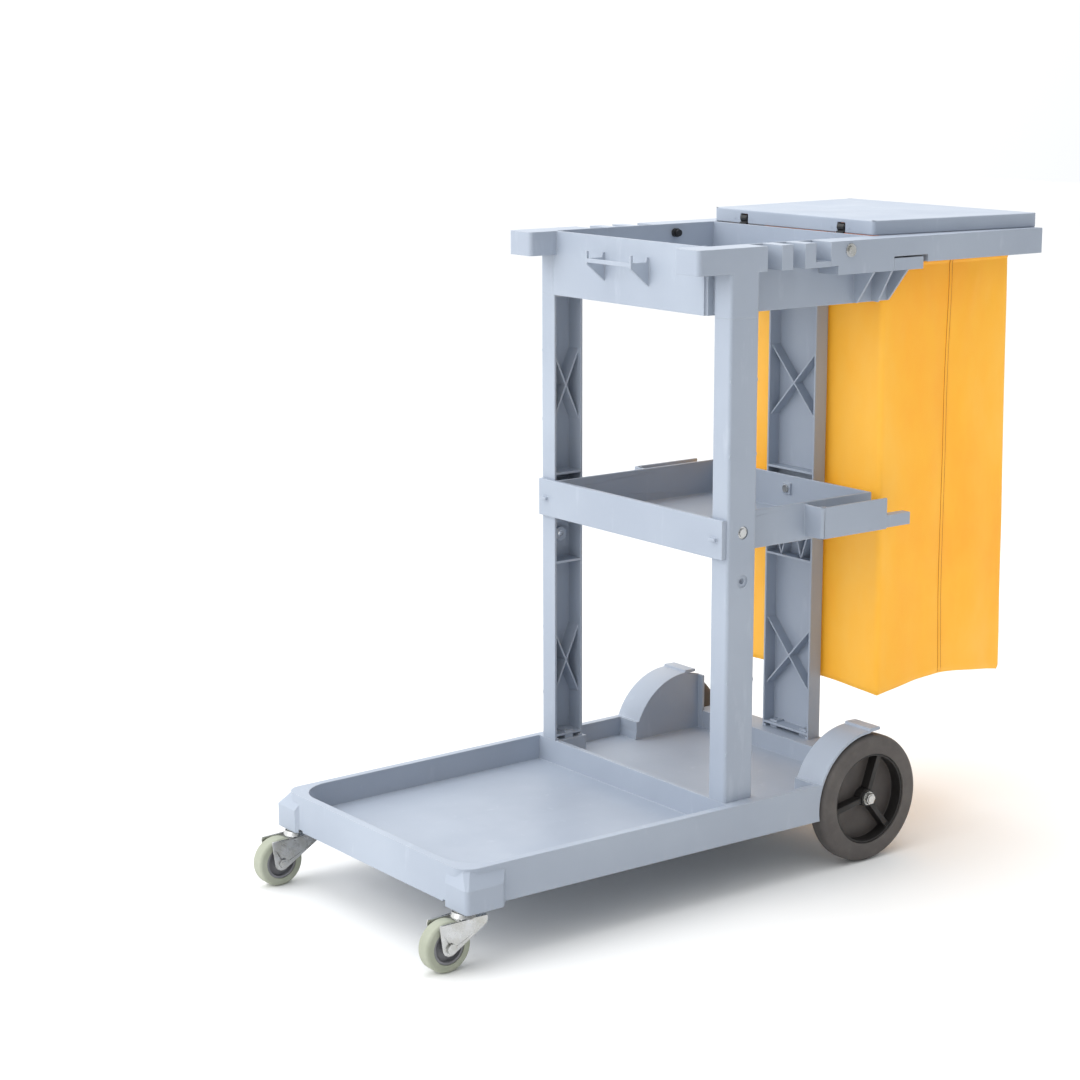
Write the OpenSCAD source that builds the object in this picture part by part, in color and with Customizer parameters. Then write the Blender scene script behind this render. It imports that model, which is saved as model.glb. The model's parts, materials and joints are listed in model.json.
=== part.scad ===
// Housekeeping cart: a wheeled base tray, three posts, a shelf, a tool tray and a lidded bag frame.
// X runs from the caster end to the bag end, Y across the cart, Z up from the floor.

/* [Overall] */
// Top of the upper tray and of the bag frame above the floor
top_z = 955; // [945:1:965]
// Half of the width over the upper tray and the posts
half_w = 224.5; // [222:0.5:227]
// Bag end of the frame, measured from the front faces of the side posts
frame_end = 644; // [635:1:655]
// Free edge of the lid, measured from the same faces
lid_end = 647; // [640:1:660]

/* [Base] */
// Caster end of the base, measured from the side posts
base_front = 475; // [465:1:480]
// Half width of the base at the casters
base_half_front = 234; // [226:1:238]
// Half width of the base at the rear wheels
base_half_rear = 247; // [244:0.5:250]
// Height of the base rim
rim_z = 140; // [138:1:142]
// Underside of the base walls
wall_z = 84; // [82:1:86]
// Top of the front deck floor
deck_z = 101; // [99:1:103]
// Top of the rear deck floor
rear_deck_z = 110; // [109.5:0.5:113]
// Width of the rim
rim_w = 12; // [10:0.5:14]

/* [Posts] */
// Side post size along the cart
post_x = 54.5; // [50:0.5:58]
// Side post size across the cart
post_y = 35; // [32:0.5:38]
// Front face of the rear post
rear_post_x = 325; // [322:1:328]
// Rear post size along the cart
rear_post_t = 25.5; // [22:0.5:26]
// Half width of the rear post
rear_post_half = 54.7; // [50:0.5:60]
// Wall thickness of the posts
post_t = 3.4; // [3:0.1:4]
// Height of the spare accessory holes
hole_z = 472; // [465:1:480]

/* [Shelf and tray] */
// Underside of the middle shelf
shelf_z = 507; // [504:1:510]
// Height of the shelf walls
shelf_h = 58; // [54:1:60]
// Underside of the upper tray
tray_z = 857; // [856:0.5:860]
// Half width inside the upper tray
tray_half = 178; // [174:1:180]
// Rear end of the tray's inside
tray_end = 312; // [308:1:313]

/* [Rear wheels] */
// Rear wheel radius
wheel_r = 100; // [98:0.5:101]
// Rear axle position along the cart
axle_x = 275.5; // [273:0.5:278]
// Axle radius
axle_r = 6; // [5.5:0.1:6]
// Rear wheel width
wheel_w = 34; // [30:1:40]
// Clearance between tyre and mudguard
guard_gap = 4.5; // [4:0.5:7]

/* [Casters] */
// Caster wheel radius
caster_r = 36.5; // [35:0.5:37]
// Caster stem position along the cart, ahead of the posts
stem_x = 466; // [462:1:468]
// Caster stem position from the centre plane
stem_y = 220; // [216:1:221]
// How far the caster wheel trails its stem
trail = 32; // [28:1:34]

/* [Bag and lid] */
// Bag length along the cart
bag_l = 279; // [262:1:281]
// Half width of the bag at its hem
bag_top_half = 168; // [160:1:170]
// Half width of the bag at its foot
bag_foot_half = 180; // [170:1:182]
// Underside of the bag
bag_z = 238; // [230:1:300]
// Half width of the lid at its hinge
lid_half_front = 181.5; // [176:0.5:182]
// Half width of the lid at its free edge
lid_half_rear = 210; // [200:1:214]
// Lid height
lid_h = 22; // [20:1:24]
// Half of the distance between the lid hinges
hinge_y = 111; // [100:1:125]

/* [Hidden] */
$fn = 48;
eps = 0.01;
shade = [0.66, 0.72, 0.80];
zinc = [0.80, 0.80, 0.78];
black = [0.09, 0.09, 0.09];
rubber = [0.34, 0.33, 0.32];
yellow = [0.98, 0.68, 0.16];
grey_tread = [0.63, 0.65, 0.58];
grey_hub = [0.45, 0.45, 0.47];
brass = [0.78, 0.66, 0.36];

// The whole model is centred between the caster wheels and the edge of the lid
caster_front = stem_x + trail + caster_r;
x_shift = (caster_front - lid_end) / 2;

wall_t = 4;
floor_t = 4;
rear_floor_t = 3.4;
axle_z = wheel_r;
guard_in = 192;
guard_t = 4;
guard_r = wheel_r + guard_gap;
guard_band = 3.5;
wheel_y = base_half_rear + 2.5 - wheel_w / 2;
bush_half = wheel_w / 2 - 7;
bush_in = wheel_y - bush_half;
bush_out = wheel_y + bush_half + 2;
base_rear = 352;
rear_rim_x = 303;
arch_x = 170;
block_z = 82;
block_top = 115;
post_top = 855;
plug_t = 3.6;
post_in = half_w - post_y;
rear_post_top = 905;
cell_zs = [146, 430, 506, 572];
side_brace_zs = [212, 656];
brace_h = 112;
rib_t = 2.5;
hole_x = 29;
screw_z = shelf_z + 37;
rail_in = 182;
rail_z = 919;
horn_x = -61;
tongue_z = 906;
tongue_end = 382;
rest_z = 927;
frame_bolt = [231, 941];
frame_in = 180;
frame_front = 192;
frame_low = 916;
skirt_end = 321;
bag_front = 353;
bag_top = 944;
bag_hem = 40;
bag_t = 2;
lid_front = 318;
lid_gap = 0.3;
hinge_x = 322;
hinge_z = 964;
pin_r = 2.5;
fit_gap = 0.05;
stem_r = 5.5;
bolt_r = 3;
fork_top = 76.4;
peg_z = 930;
eyelet_z = peg_z - 2;
eyelet_xs = [430, 560];
eyelet_ys = [-110, 110];
hub_r = 71;
shelf_half = 185;
hook_y = 52;

// ---------------------------------------------------------------- helpers

// Both sides of the cart; the left side is at -Y
module both_sides() {
    children();
    mirror([0, 1, 0]) children();
}

// A box from one corner to the other
module span(low, high) {
    translate(low) cube(high - low);
}

// A straight round bar along Y, from y0 to y1
module bar_y(x, z, r, y0, y1) {
    translate([x, y0, z]) rotate([-90, 0, 0]) cylinder(r = r, h = y1 - y0);
}

// A straight round bar along X, from x0 to x1
module bar_x(y, z, r, x0, x1) {
    translate([x0, y, z]) rotate([0, 90, 0]) cylinder(r = r, h = x1 - x0);
}

// An outline drawn in X and Z, given a thickness along Y from y0 to y1
module plate_xz(y0, y1) {
    translate([0, y1, 0]) rotate([90, 0, 0]) linear_extrude(y1 - y0) children();
}

// A thin straight rib between two points of a plane
module rib2d(a, b, t) {
    d = b - a;
    translate(a) rotate(atan2(d[1], d[0])) translate([0, -t / 2]) square([norm(d), t]);
}

// Two ribs that cross, over a cell w wide and h high
module cross2d(w, h) {
    rib2d([-w / 2, 0], [w / 2, h], rib_t);
    rib2d([-w / 2, h], [w / 2, 0], rib_t);
}

// ---------------------------------------------------------------- base

// Plan of the base between the caster end and the wheel arches
module front_plan() {
    intersection() {
        offset(r = 26) offset(delta = -26) polygon([[-base_front, -base_half_front],
            [arch_x + 60, -base_half_rear - 1], [arch_x + 60, base_half_rear + 1], [-base_front, base_half_front]]);
        translate([-base_front - 1, -300]) square([base_front + arch_x + 13, 600]);
    }
}

// Plan of the base between the rear wheels
module rear_plan() {
    translate([arch_x, -guard_in - guard_t]) square([base_rear - arch_x, 2 * (guard_in + guard_t)]);
}

module base_plan() {
    offset(r = 6) offset(delta = -6) union() {
        front_plan();
        rear_plan();
    }
}

// Inside of the front deck, with round corners at the caster end
module deck_inside() {
    offset(r = 55) offset(delta = -55) intersection() {
        offset(delta = -rim_w) front_plan();
        translate([-base_front, -300]) square([base_front + 55, 600]);
    }
}

// The part of it ahead of the posts
module deck_front() {
    intersection() {
        deck_inside();
        translate([-600, -300]) square([600, 600]);
    }
}

// Inside of the rear deck, between the divider and the rear rim
module rear_deck_inside() {
    difference() {
        union() {
            intersection() {
                offset(delta = -rim_w) front_plan();
                translate([8, -300]) square([arch_x + 3, 600]);
            }
            translate([8, -guard_in]) square([rear_rim_x - 8, 2 * guard_in]);
        }
        // raised pads that the side posts stand on
        both_sides() translate([-1, -300]) square([post_x + 6, 300 - post_in + 4]);
    }
}

// Side view of the mudguard: an arc over the front of the wheel with a raised tail
module guard_side() {
    inner = axle_z + guard_r;
    outer = inner + guard_band;
    difference() {
        translate([axle_x, axle_z]) circle(r = guard_r + guard_band, $fn = 96);
        translate([axle_x, axle_z]) circle(r = guard_r, $fn = 96);
        translate([axle_x, -200]) square([400, 600]);
        translate([-200, -200]) square([800, 200 + wall_z]);
    }
    polygon([[axle_x - 6, inner + 0.6], [axle_x + 20, inner + 2.6], [axle_x + 20, outer + 3.2],
        [axle_x - 1, outer + 3.8], [axle_x - 2.5, outer - 0.2], [axle_x - 6, outer - 0.4]]);
}

// Inner wall of a wheel arch, seen from the side
module guard_wall_side() {
    intersection() {
        translate([axle_x, axle_z]) circle(r = guard_r + 1, $fn = 96);
        translate([arch_x - 20, wall_z]) square([rear_rim_x - arch_x + 20, 200]);
    }
}

module mudguard() {
    plate_xz(guard_in, base_half_rear) guard_side();
    plate_xz(guard_in, guard_in + guard_t) guard_wall_side();
    // rib that closes the rear end of the arch
    span([rear_rim_x - 0.5, guard_in - 11, rear_deck_z - 2], [rear_rim_x + 3.5, guard_in + guard_t, axle_z + guard_r - 4]);
    // boss that spaces the wheel from the wall
    bar_y(axle_x, axle_z, 16, guard_in + guard_t - eps, bush_in - 0.3);
}

// Corner block that carries a caster: bevelled in plan and sloped up to the base's rim
module block_plan() {
    x0 = -base_front - 5.5;
    offset(r = 7) offset(delta = -7) polygon([[x0 + 5.5, 160], [x0 + 5.5, 174], [x0, 187], [x0, 249], [-419, 249],
        [-405, 234], [-405, 160]]);
}

module caster_block() {
    x0 = -base_front - 5.5;
    low = block_z - 1;
    high = rim_z - 2;
    intersection() {
        translate([0, 0, block_z]) linear_extrude(high - block_z) block_plan();
        rotate([90, 0, 90]) translate([0, 0, -600]) linear_extrude(400)
            polygon([[150, low], [249.5, low], [249.5, block_top], [230, high], [150, high]]);
        plate_xz(150, 260) polygon([[x0 - 0.5, low], [-404, low], [-404, high], [-469, high], [x0 - 0.5, block_top]]);
        // the same slope over the outer corner
        rotate([0, 0, 135]) translate([0, 200, 0]) rotate([90, 0, 0]) linear_extrude(400)
            polygon([[300, low], [514, low], [514, block_top], [489, high], [300, high]]);
    }
}

// Ribs under the floors, in plan
module rib_grid() {
    for (y = [-150, -75, 0, 75, 150])
        translate([-600, y - 1.5]) square([600 + rear_rim_x, 3]);
    for (x = [-330, -190, -60, 120, 215])
        translate([x - 1.5, -300]) square([3, 600]);
}

module underside_ribs() {
    z0 = wall_z + 3;
    z1 = deck_z - floor_t;
    translate([0, 0, z0]) linear_extrude(z1 - z0 + eps) intersection() {
        offset(delta = -2) base_plan();
        rib_grid();
    }
    translate([0, 0, z1]) linear_extrude(rear_deck_z - rear_floor_t - z1 + eps) intersection() {
        offset(delta = -2) base_plan();
        rib_grid();
        translate([10, -300]) square([rear_rim_x - 10, 600]);
    }
}

module base_shell() {
    difference() {
        translate([0, 0, wall_z]) linear_extrude(rim_z - wall_z) base_plan();
        translate([0, 0, deck_z]) linear_extrude(rim_z) deck_front();
        translate([0, 0, rear_deck_z]) linear_extrude(rim_z) rear_deck_inside();
        // underside of the two floors
        translate([0, 0, wall_z - 1]) linear_extrude(deck_z - floor_t - wall_z + 1)
            offset(delta = -wall_t) base_plan();
        translate([0, 0, wall_z - 1]) linear_extrude(rear_deck_z - rear_floor_t - wall_z + 1)
            intersection() {
                offset(delta = -wall_t) base_plan();
                translate([12, -300]) square([base_rear, 600]);
            }
        // the rim and the raised pads are hollow from below
        translate([0, 0, wall_z - 1]) linear_extrude(rim_z - wall_t - wall_z + 1) difference() {
            offset(delta = -wall_t) base_plan();
            offset(delta = wall_t) deck_front();
            offset(delta = wall_t) rear_deck_inside();
            translate([-1, -post_in]) square([10, 2 * post_in]);
        }
        // wheel arches
        both_sides() bar_y(axle_x, axle_z, guard_r, guard_in + guard_t, 300);
    }
}

module base_deck() {
    color(shade) difference() {
        union() {
            base_shell();
            both_sides() mudguard();
            both_sides() caster_block();
            underside_ribs();
        }
        // nothing reaches outside the walls or into the decks
        translate([0, 0, deck_z]) linear_extrude(rim_z) deck_front();
        both_sides() {
            bar_y(axle_x, axle_z, axle_r, guard_in - 1, base_half_rear);
            translate([-stem_x, stem_y, block_z - 5]) cylinder(r = stem_r, h = 46);
            // hollow underside around the caster seat
            span([-base_front - 1, 184, block_z - 1], [-412, 243, block_z + 5]);
            for (y = [post_in + 9, half_w - 9])
                translate([hole_x, y, rim_z - 30]) cylinder(r = bolt_r, h = 40);
            translate([rear_post_x + 14, 35, rim_z - 20]) cylinder(r = bolt_r, h = 40);
        }
        // the axle runs just under the rear floor, through the long ribs
        bar_y(axle_x, axle_z, axle_r + 0.3, -guard_in, guard_in);
    }
}

// ---------------------------------------------------------------- posts

// Plan of a post: w wide and d deep behind y = 0, with its two outer edges rounded
module post_plan(w, d, r) {
    intersection() {
        offset(r = r) offset(delta = -r) translate([0, -d - 20]) square([w, d + 20]);
        translate([-1, -d]) square([w + 2, d]);
    }
}

// A post cell: a U-channel seen from its open side, w wide, depth d, back wall at the far side.
// Drawn with its width along X, its open side towards -Y and the outer face at y = 0.
module channel(w, d, z0, z1, brace_zs, r) {
    difference() {
        translate([0, 0, z0]) linear_extrude(z1 - z0) post_plan(w, d, r);
        translate([post_t, -d - 1, z0 + post_t]) cube([w - 2 * post_t, d + 1 - post_t, z1 - z0 - 2 * post_t]);
        // slot under the lowest plate
        translate([post_t + 4, -d - 1, z0 - 1]) cube([w - 2 * post_t - 8, d - 3, 6]);
    }
    for (z = cell_zs)
        translate([post_t - eps, -d, z]) cube([w - 2 * post_t + 2 * eps, d - eps, post_t]);
    for (z = brace_zs)
        translate([w / 2, -eps, z]) rotate([90, 0, 0])
            linear_extrude(d * 0.82) intersection() {
                cross2d(w - post_t, brace_h);
                translate([-w / 2 + post_t / 2, 0]) square([w - post_t, brace_h]);
            }
}

// Zigzag ribs in the short cell under the shelf
module zigzag(w, d) {
    z0 = cell_zs[1] + post_t - 1;
    z1 = cell_zs[2] + 1;
    xs = [post_t, w * 0.30, w * 0.5, w * 0.72, w - post_t];
    translate([0, -eps, 0]) rotate([90, 0, 0]) linear_extrude(d * 0.82)
        for (i = [0:3])
            rib2d([xs[i], i % 2 == 0 ? z1 : z0], [xs[i + 1], i % 2 == 0 ? z0 : z1], rib_t);
}

// Side post at +Y, open towards the middle of the cart
module side_post() {
    difference() {
        union() {
            translate([0, half_w, 0]) channel(post_x, post_y, rim_z, post_top, side_brace_zs, 5);
            // bosses behind the shelf screw and the spare hole
            for (z = [screw_z, hole_z])
                bar_y(hole_x, z, 11, half_w - 12, half_w - 1);
            bar_y(hole_x, screw_z, 7, post_in, half_w - 11);
            // foot block for the screws that come up through the base
            translate([hole_x - 8, post_in + 1, rim_z]) cube([16, post_y - 2, 12]);
            // plug that the tray's socket drops over
            difference() {
                span([plug_t, post_in + plug_t, post_top - 1], [post_x - plug_t, half_w - plug_t, post_top + 38]);
                span([plug_t + 3, post_in + plug_t + 3, post_top + 3],
                    [post_x - plug_t - 3, half_w - plug_t - 3, post_top + 40]);
            }
        }
        bar_y(hole_x, hole_z, 4.5, half_w - 30, half_w + 1);
        bar_y(hole_x, screw_z, bolt_r + 0.1, post_in - 1, half_w + 1);
        for (z = [screw_z, hole_z])
            bar_y(hole_x, z, 9.5, half_w - 2.2, half_w + 1);
        for (y = [post_in + 9, half_w - 9])
            translate([hole_x, y, rim_z - 1]) cylinder(r = bolt_r, h = 13);
    }
}

module side_post_right() {
    color(shade) side_post();
}

module side_post_left() {
    color(shade) mirror([0, 1, 0]) side_post();
}

module rear_post() {
    w = 2 * rear_post_half;
    color(shade) difference() {
        union() {
            translate([rear_post_x + rear_post_t, rear_post_half, 0]) rotate([0, 0, -90]) {
                channel(w, rear_post_t, rim_z, rear_post_top, side_brace_zs, 2.5);
                zigzag(w, rear_post_t);
            }
            // block that takes the shelf screw and the tray screws
            span([rear_post_x, -11, screw_z - 11], [rear_post_x + rear_post_t - 1, 11, screw_z + 11]);
            for (s = [-1, 1])
                span([rear_post_x, s * 35 - 10, 876], [rear_post_x + 14, s * 35 + 10, rear_post_top - 1]);
            for (s = [-1, 1])
                span([rear_post_x + 6, s * 35 - 8, rim_z], [rear_post_x + rear_post_t - 1, s * 35 + 8, rim_z + 12]);
        }
        bar_x(0, screw_z, bolt_r, rear_post_x - 1, rear_post_x + 20);
        for (s = [-1, 1]) {
            bar_x(s * 35, 890, bolt_r, rear_post_x - 1, rear_post_x + 15);
            translate([rear_post_x + 14, s * 35, rim_z - 1]) cylinder(r = bolt_r, h = 14);
        }
    }
}

// ---------------------------------------------------------------- middle shelf

// One of the two side rails that hang on the rear half of the shelf
module shelf_wing() {
    top = shelf_z + 55;
    // jog from the shelf wall out to the rail
    span([186, shelf_half - 2, shelf_z + 7], [190, half_w - 6, top]);
    translate([192, half_w - 6, shelf_z + 7]) cylinder(r = 6, h = top - shelf_z - 7);
    span([190, half_w - 4, shelf_z + 7], [320, half_w, top]);
    // cross webs that tie the rail to the shelf
    for (x = [232, 276])
        span([x, shelf_half - 1, shelf_z + 7], [x + 3, half_w - 1, shelf_z + 25]);
    span([316, shelf_half - 2, shelf_z + 7], [320, half_w, shelf_z + 34]);
    // end hook
    span([319, half_w - 16, shelf_z + 9], [370, half_w, shelf_z + 28]);
}

module middle_shelf() {
    top = shelf_z + shelf_h;
    color(shade) difference() {
        union() {
            difference() {
                span([-4, -shelf_half, shelf_z], [rear_post_x, shelf_half, top]);
                span([-4 + wall_t, -shelf_half + wall_t, shelf_z + wall_t],
                    [rear_post_x - wall_t, shelf_half - wall_t, top + 1]);
            }
            // front wall with its two ends over the posts
            translate([-8, -half_w + 4, shelf_z]) cube([8, 2 * half_w - 8, top - shelf_z]);
            both_sides() shelf_wing();
            both_sides() {
                // small catch on the front wall
                translate([-14, 196, shelf_z + 26]) cube([7, 14, 5]);
                bar_y(hole_x, screw_z, 8, shelf_half - wall_t - 3, post_in);
            }
            span([rear_post_x - 8, -9, screw_z - 9], [rear_post_x, 9, screw_z + 9]);
        }
        both_sides() bar_y(hole_x, screw_z, bolt_r, shelf_half - 9, post_in + 1);
        bar_x(0, screw_z, bolt_r, rear_post_x - 10, rear_post_x + 1);
    }
}

// ---------------------------------------------------------------- upper tray

// Hollow block of the tool rail, open underneath
module rail_block(x0, x1) {
    difference() {
        span([x0, rail_in, rail_z], [x1, half_w, top_z]);
        span([x0 + 3, rail_in + 3, rail_z - 1], [x1 - 3, half_w - 3, top_z - 3]);
    }
}

// Round-nosed horn at the front of the rail, down to the post socket
module horn() {
    difference() {
        translate([0, 0, rail_z]) linear_extrude(top_z - rail_z) intersection() {
            offset(r = 7) offset(delta = -7) translate([horn_x, 169]) square([160, half_w - 169]);
            translate([horn_x - 1, 160]) square([69 - horn_x, 80]);
        }
        translate([0, 0, rail_z - 1]) linear_extrude(top_z - rail_z - 2.5)
            polygon([[horn_x + 3.5, 176], [60.5, 176], [60.5, half_w - 3.5], [horn_x + 3.5, half_w - 3.5]]);
        // the tray's own space
        span([-7, 0, rail_z - 1], [80, tray_half, top_z + 1]);
    }
}

// Tongue that the handle frame's arm rests on, seen from the side
module tongue_side() {
    polygon([[207, tongue_z], [tongue_end, tongue_z], [tongue_end, rest_z - 2.5], [skirt_end, rest_z - 2.5],
        [skirt_end, rest_z], [188, rest_z], [188, rail_z], [207, rail_z]]);
}

// Triangular plate between the side wall and the tongue
module bracket_rib(x, foot) {
    translate([x, 0, 0]) rotate([90, 0, 90]) linear_extrude(3)
        polygon([[rail_in - 1, tray_z + 0.5], [rail_in + foot, tray_z + 0.5], [half_w - 0.5, tongue_z - 0.3],
            [half_w - 5, tongue_z - 0.3], [half_w - 5, tongue_z + 2], [rail_in - 1, tongue_z + 2]]);
}

module tray_side() {
    // side wall
    span([-7, tray_half, tray_z], [316, rail_in, top_z]);
    horn();
    for (x = [[96, 117], [141, 162]]) rail_block(x[0], x[1]);
    // floor of the tool slots and the bar across the last one
    span([64, rail_in - 1, rail_z], [163, rail_in + 8, rail_z + 3]);
    span([161, half_w - 4, rail_z], [191, half_w, rail_z + 8]);
    // socket over the side post
    difference() {
        translate([0, half_w, post_top]) linear_extrude(rail_z + 1 - post_top) post_plan(post_x, post_y, 5);
        span([post_t, post_in + post_t, post_top - 1], [post_x - post_t, half_w - post_t, rail_z + 2]);
    }
    span([4, rail_in - 1, tray_z + 2], [8, post_in + 1, rail_z + 1]);
    span([post_x - 8, rail_in - 1, tray_z + 2], [post_x - 4, post_in + 1, rail_z + 1]);
    // the side wall runs on past the tray as a bracket
    span([315, tray_half + 0.5, tray_z], [352, rail_in, rest_z - 0.3]);
    difference() {
        plate_xz(rail_in - 1, half_w) tongue_side();
        // room for the skirt of the handle frame
        span([191.7, half_w - 3.8, tongue_z - 1], [skirt_end, half_w + 1, rest_z + 1]);
        span([212, rail_in + 3.5, tongue_z + 3.5], [tongue_end - 3.5, half_w - 7.3, rest_z + 1]);
    }
    bracket_rib(279, 7);
    bracket_rib(316, 14);
    bracket_rib(349, 2);
}

// Two hooks and a bar on the tray's front wall
module front_hooks() {
    side = [[-9, 887], [-45, 916], [-45, 935], [-41.5, 935], [-41.5, 924], [-16, 924], [-15, 931], [-9, 931]];
    for (y = [-hook_y, hook_y])
        plate_xz(y - 2, y + 2) polygon(side);
    span([-45, -hook_y, 918], [-41.5, hook_y, 924]);
}

module top_tray() {
    color(shade) difference() {
        union() {
            span([-11, -tray_half, tray_z], [-7, tray_half, top_z]);
            span([-9, -tray_half - 1, tray_z], [tray_end + 4, tray_half + 1, tray_z + wall_t]);
            span([tray_end, -tray_half - 1, tray_z], [tray_end + 4, tray_half + 1, top_z]);
            both_sides() tray_side();
            front_hooks();
            // round front corners
            both_sides() intersection() {
                translate([1, tray_half - 8, tray_z]) cylinder(r = 12, h = top_z - tray_z);
                span([-11, tray_half - 12, tray_z], [1, rail_in, top_z]);
            }
            // pads between the rear wall and the rear post
            for (s = [-1, 1])
                span([tray_end + 3, s * 35 - 12, tray_z + 6], [rear_post_x, s * 35 + 12, rear_post_top]);
        }
        for (s = [-1, 1])
            bar_x(s * 35, 890, bolt_r + 0.2, tray_end - 1, rear_post_x + 1);
        both_sides() {
            translate([0, 0, tray_z + wall_t]) linear_extrude(top_z) translate([1, tray_half - 8])
                intersection() {
                    circle(r = 8);
                    translate([-8, 0]) square([8, 8]);
                }
            bar_y(frame_bolt[0], frame_bolt[1], bolt_r + 1.2, tray_half - 1, rail_in + 1);
            // grooves for the hinge clips' feet
            span([tray_end + 3, hinge_y - 7.5, top_z - 23], [tray_end + 5, hinge_y + 7.5, top_z + 1]);
        }
    }
}

// ---------------------------------------------------------------- bag frame, bag and lid

// Hollow bar of the frame: open underneath, from one corner to the other
module frame_bar(low, high) {
    t = 3.6;
    difference() {
        span(low, high);
        span([low[0] + t, low[1] + t, low[2] - 1], [high[0] - t, high[1] - t, high[2] - t]);
    }
}

// One arm: shallow over the tray's tongue, deep behind it
module frame_arm() {
    frame_bar([frame_front, rail_in + 0.3, rest_z], [tongue_end + 12, half_w, top_z]);
    // skirt outside the tongue, flush with it further back
    span([frame_front, half_w - 3.4, rail_z + 1], [skirt_end - 0.3, half_w, rest_z + 1]);
    span([frame_front + 15, half_w - 3.4, tongue_z], [skirt_end - 0.3, half_w, rail_z + 2]);
    frame_bar([tongue_end + 10, frame_in, frame_low], [frame_end, half_w, top_z]);
    // block around the bolt
    bar_y(frame_bolt[0], frame_bolt[1], 9, rail_in + 0.3, half_w - 1);
    // ledge that the lid rests on, beside the tray's end
    span([330, frame_in, top_z - 6], [tongue_end + 12, rail_in + 4, top_z]);
}

// Pegs that the bag's eyelets hang on
module bag_pegs() {
    for (x = eyelet_xs)
        both_sides() bar_y(x, peg_z, 3, bag_top_half - 9, frame_in + 2);
    for (y = eyelet_ys) {
        bar_x(y, peg_z, 3, bag_front + bag_l - 9, frame_end - 3);
        bar_x(y, peg_z, 3, bag_front - 6, bag_front + 9);
    }
}

module handle_frame() {
    color(shade) difference() {
        union() {
            both_sides() frame_arm();
            // push bar: a flange and an outer wall
            span([frame_end - 30, -half_w + 4, top_z - 4], [frame_end, half_w - 4, top_z]);
            span([frame_end - 4, -half_w + 4, frame_low], [frame_end, half_w - 4, top_z]);
            // cross bar behind the tray
            frame_bar([330, -rail_in - 4, rest_z], [bag_front - 4, rail_in + 4, 951]);
            bag_pegs();
        }
        both_sides() bar_y(frame_bolt[0], frame_bolt[1], bolt_r + 1.2, rail_in - 1, half_w + 1);
    }
}

// Side view of the bag, inset by its wall
module bag_side(t, z0) {
    polygon([[bag_front + t, z0], [bag_front + bag_l - t, z0], [bag_front + bag_l - t, bag_top + t],
        [bag_front + t, bag_top + t]]);
}

// End view of the bag: straight at the hem, wider at the foot
module bag_end(t, z0) {
    polygon([[-bag_foot_half + t, z0], [bag_foot_half - t, z0], [bag_top_half - t, bag_top - bag_hem],
        [bag_top_half - t, bag_top + t], [t - bag_top_half, bag_top + t], [t - bag_top_half, bag_top - bag_hem]]);
}

module bag_block(t) {
    z0 = bag_z + t;
    intersection() {
        plate_xz(-300, 300) bag_side(t, z0);
        rotate([90, 0, 90]) linear_extrude(1000) bag_end(t, z0);
    }
}

// The vinyl bag, open at the top, with a hole around each peg
module waste_bag() {
    color(yellow) difference() {
        bag_block(0);
        bag_block(bag_t);
        for (x = eyelet_xs)
            both_sides() bar_y(x, eyelet_z, 5, bag_top_half - 8, bag_top_half + 4);
        for (y = eyelet_ys)
            bar_x(y, eyelet_z, 5, bag_front - 2, bag_front + bag_l + 2);
    }
}

// Ring pressed into the bag's hem, lying on its inner face; axis along Z
module eyelet() {
    rotate_extrude() translate([5, 0]) square([4.5, 1.2]);
}

module bag_grommets() {
    color(brass) {
        for (x = eyelet_xs)
            both_sides() translate([x, bag_top_half - bag_t, eyelet_z]) rotate([90, 0, 0]) eyelet();
        for (y = eyelet_ys) {
            translate([bag_front + bag_t, y, eyelet_z]) rotate([0, 90, 0]) eyelet();
            translate([bag_front + bag_l - bag_t, y, eyelet_z]) rotate([0, -90, 0]) eyelet();
        }
    }
}

module lid_plan() {
    offset(r = 6) offset(delta = -6) polygon([[lid_front, -lid_half_front], [lid_end, -lid_half_rear],
        [lid_end, lid_half_rear], [lid_front, lid_half_front]]);
}

module lid() {
    z0 = top_z + lid_gap;
    color(shade) difference() {
        union() {
            difference() {
                translate([0, 0, z0]) linear_extrude(lid_h) lid_plan();
                translate([0, 0, z0 - 1]) linear_extrude(lid_h - 2) offset(delta = -3) lid_plan();
            }
            // lugs that hold the hinge pins, each side of a clip
            for (y = [-hinge_y, hinge_y], s = [-1, 1])
                translate([lid_front + 1, y + s * 11.5 - 2, z0]) cube([9, 4, lid_h - 2]);
            // stiffening ribs under the top
            for (y = [-70, 0, 70])
                span([lid_front + 2, y - 1.25, z0 + lid_h - 10], [lid_end - 2, y + 1.25, z0 + lid_h - 2]);
            for (x = [420, 530])
                span([x - 1.25, -lid_half_front, z0 + lid_h - 10], [x + 1.25, lid_half_front, z0 + lid_h - 2]);
        }
        for (y = [-hinge_y, hinge_y]) {
            // opening in the skirt for the clip
            span([lid_front - 1, y - 8.5, z0 - 1], [lid_front + 3.5, y + 8.5, hinge_z + 6.9]);
            bar_y(hinge_x, hinge_z, pin_r, y - 20, y + 20);
        }
    }
}

// Clip that stands on the tray's rear wall and holds a hinge pin
module lid_hinge_clips() {
    color(black) for (y = [-hinge_y, hinge_y])
        difference() {
            union() {
                bar_y(hinge_x, hinge_z, 6, y - 7.5, y + 7.5);
                span([hinge_x - 3.4, y - 7.5, top_z + 0.1], [hinge_x + 4, y + 7.5, hinge_z]);
                span([tray_end + 3, y - 7.5, top_z - 23], [tray_end + 5.6, y + 7.5, top_z + 2.4]);
                span([tray_end + 3, y - 7.5, top_z + 0.1], [hinge_x, y + 7.5, top_z + 2.4]);
            }
            bar_y(hinge_x, hinge_z, pin_r + fit_gap, y - 9, y + 9);
        }
}

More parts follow.
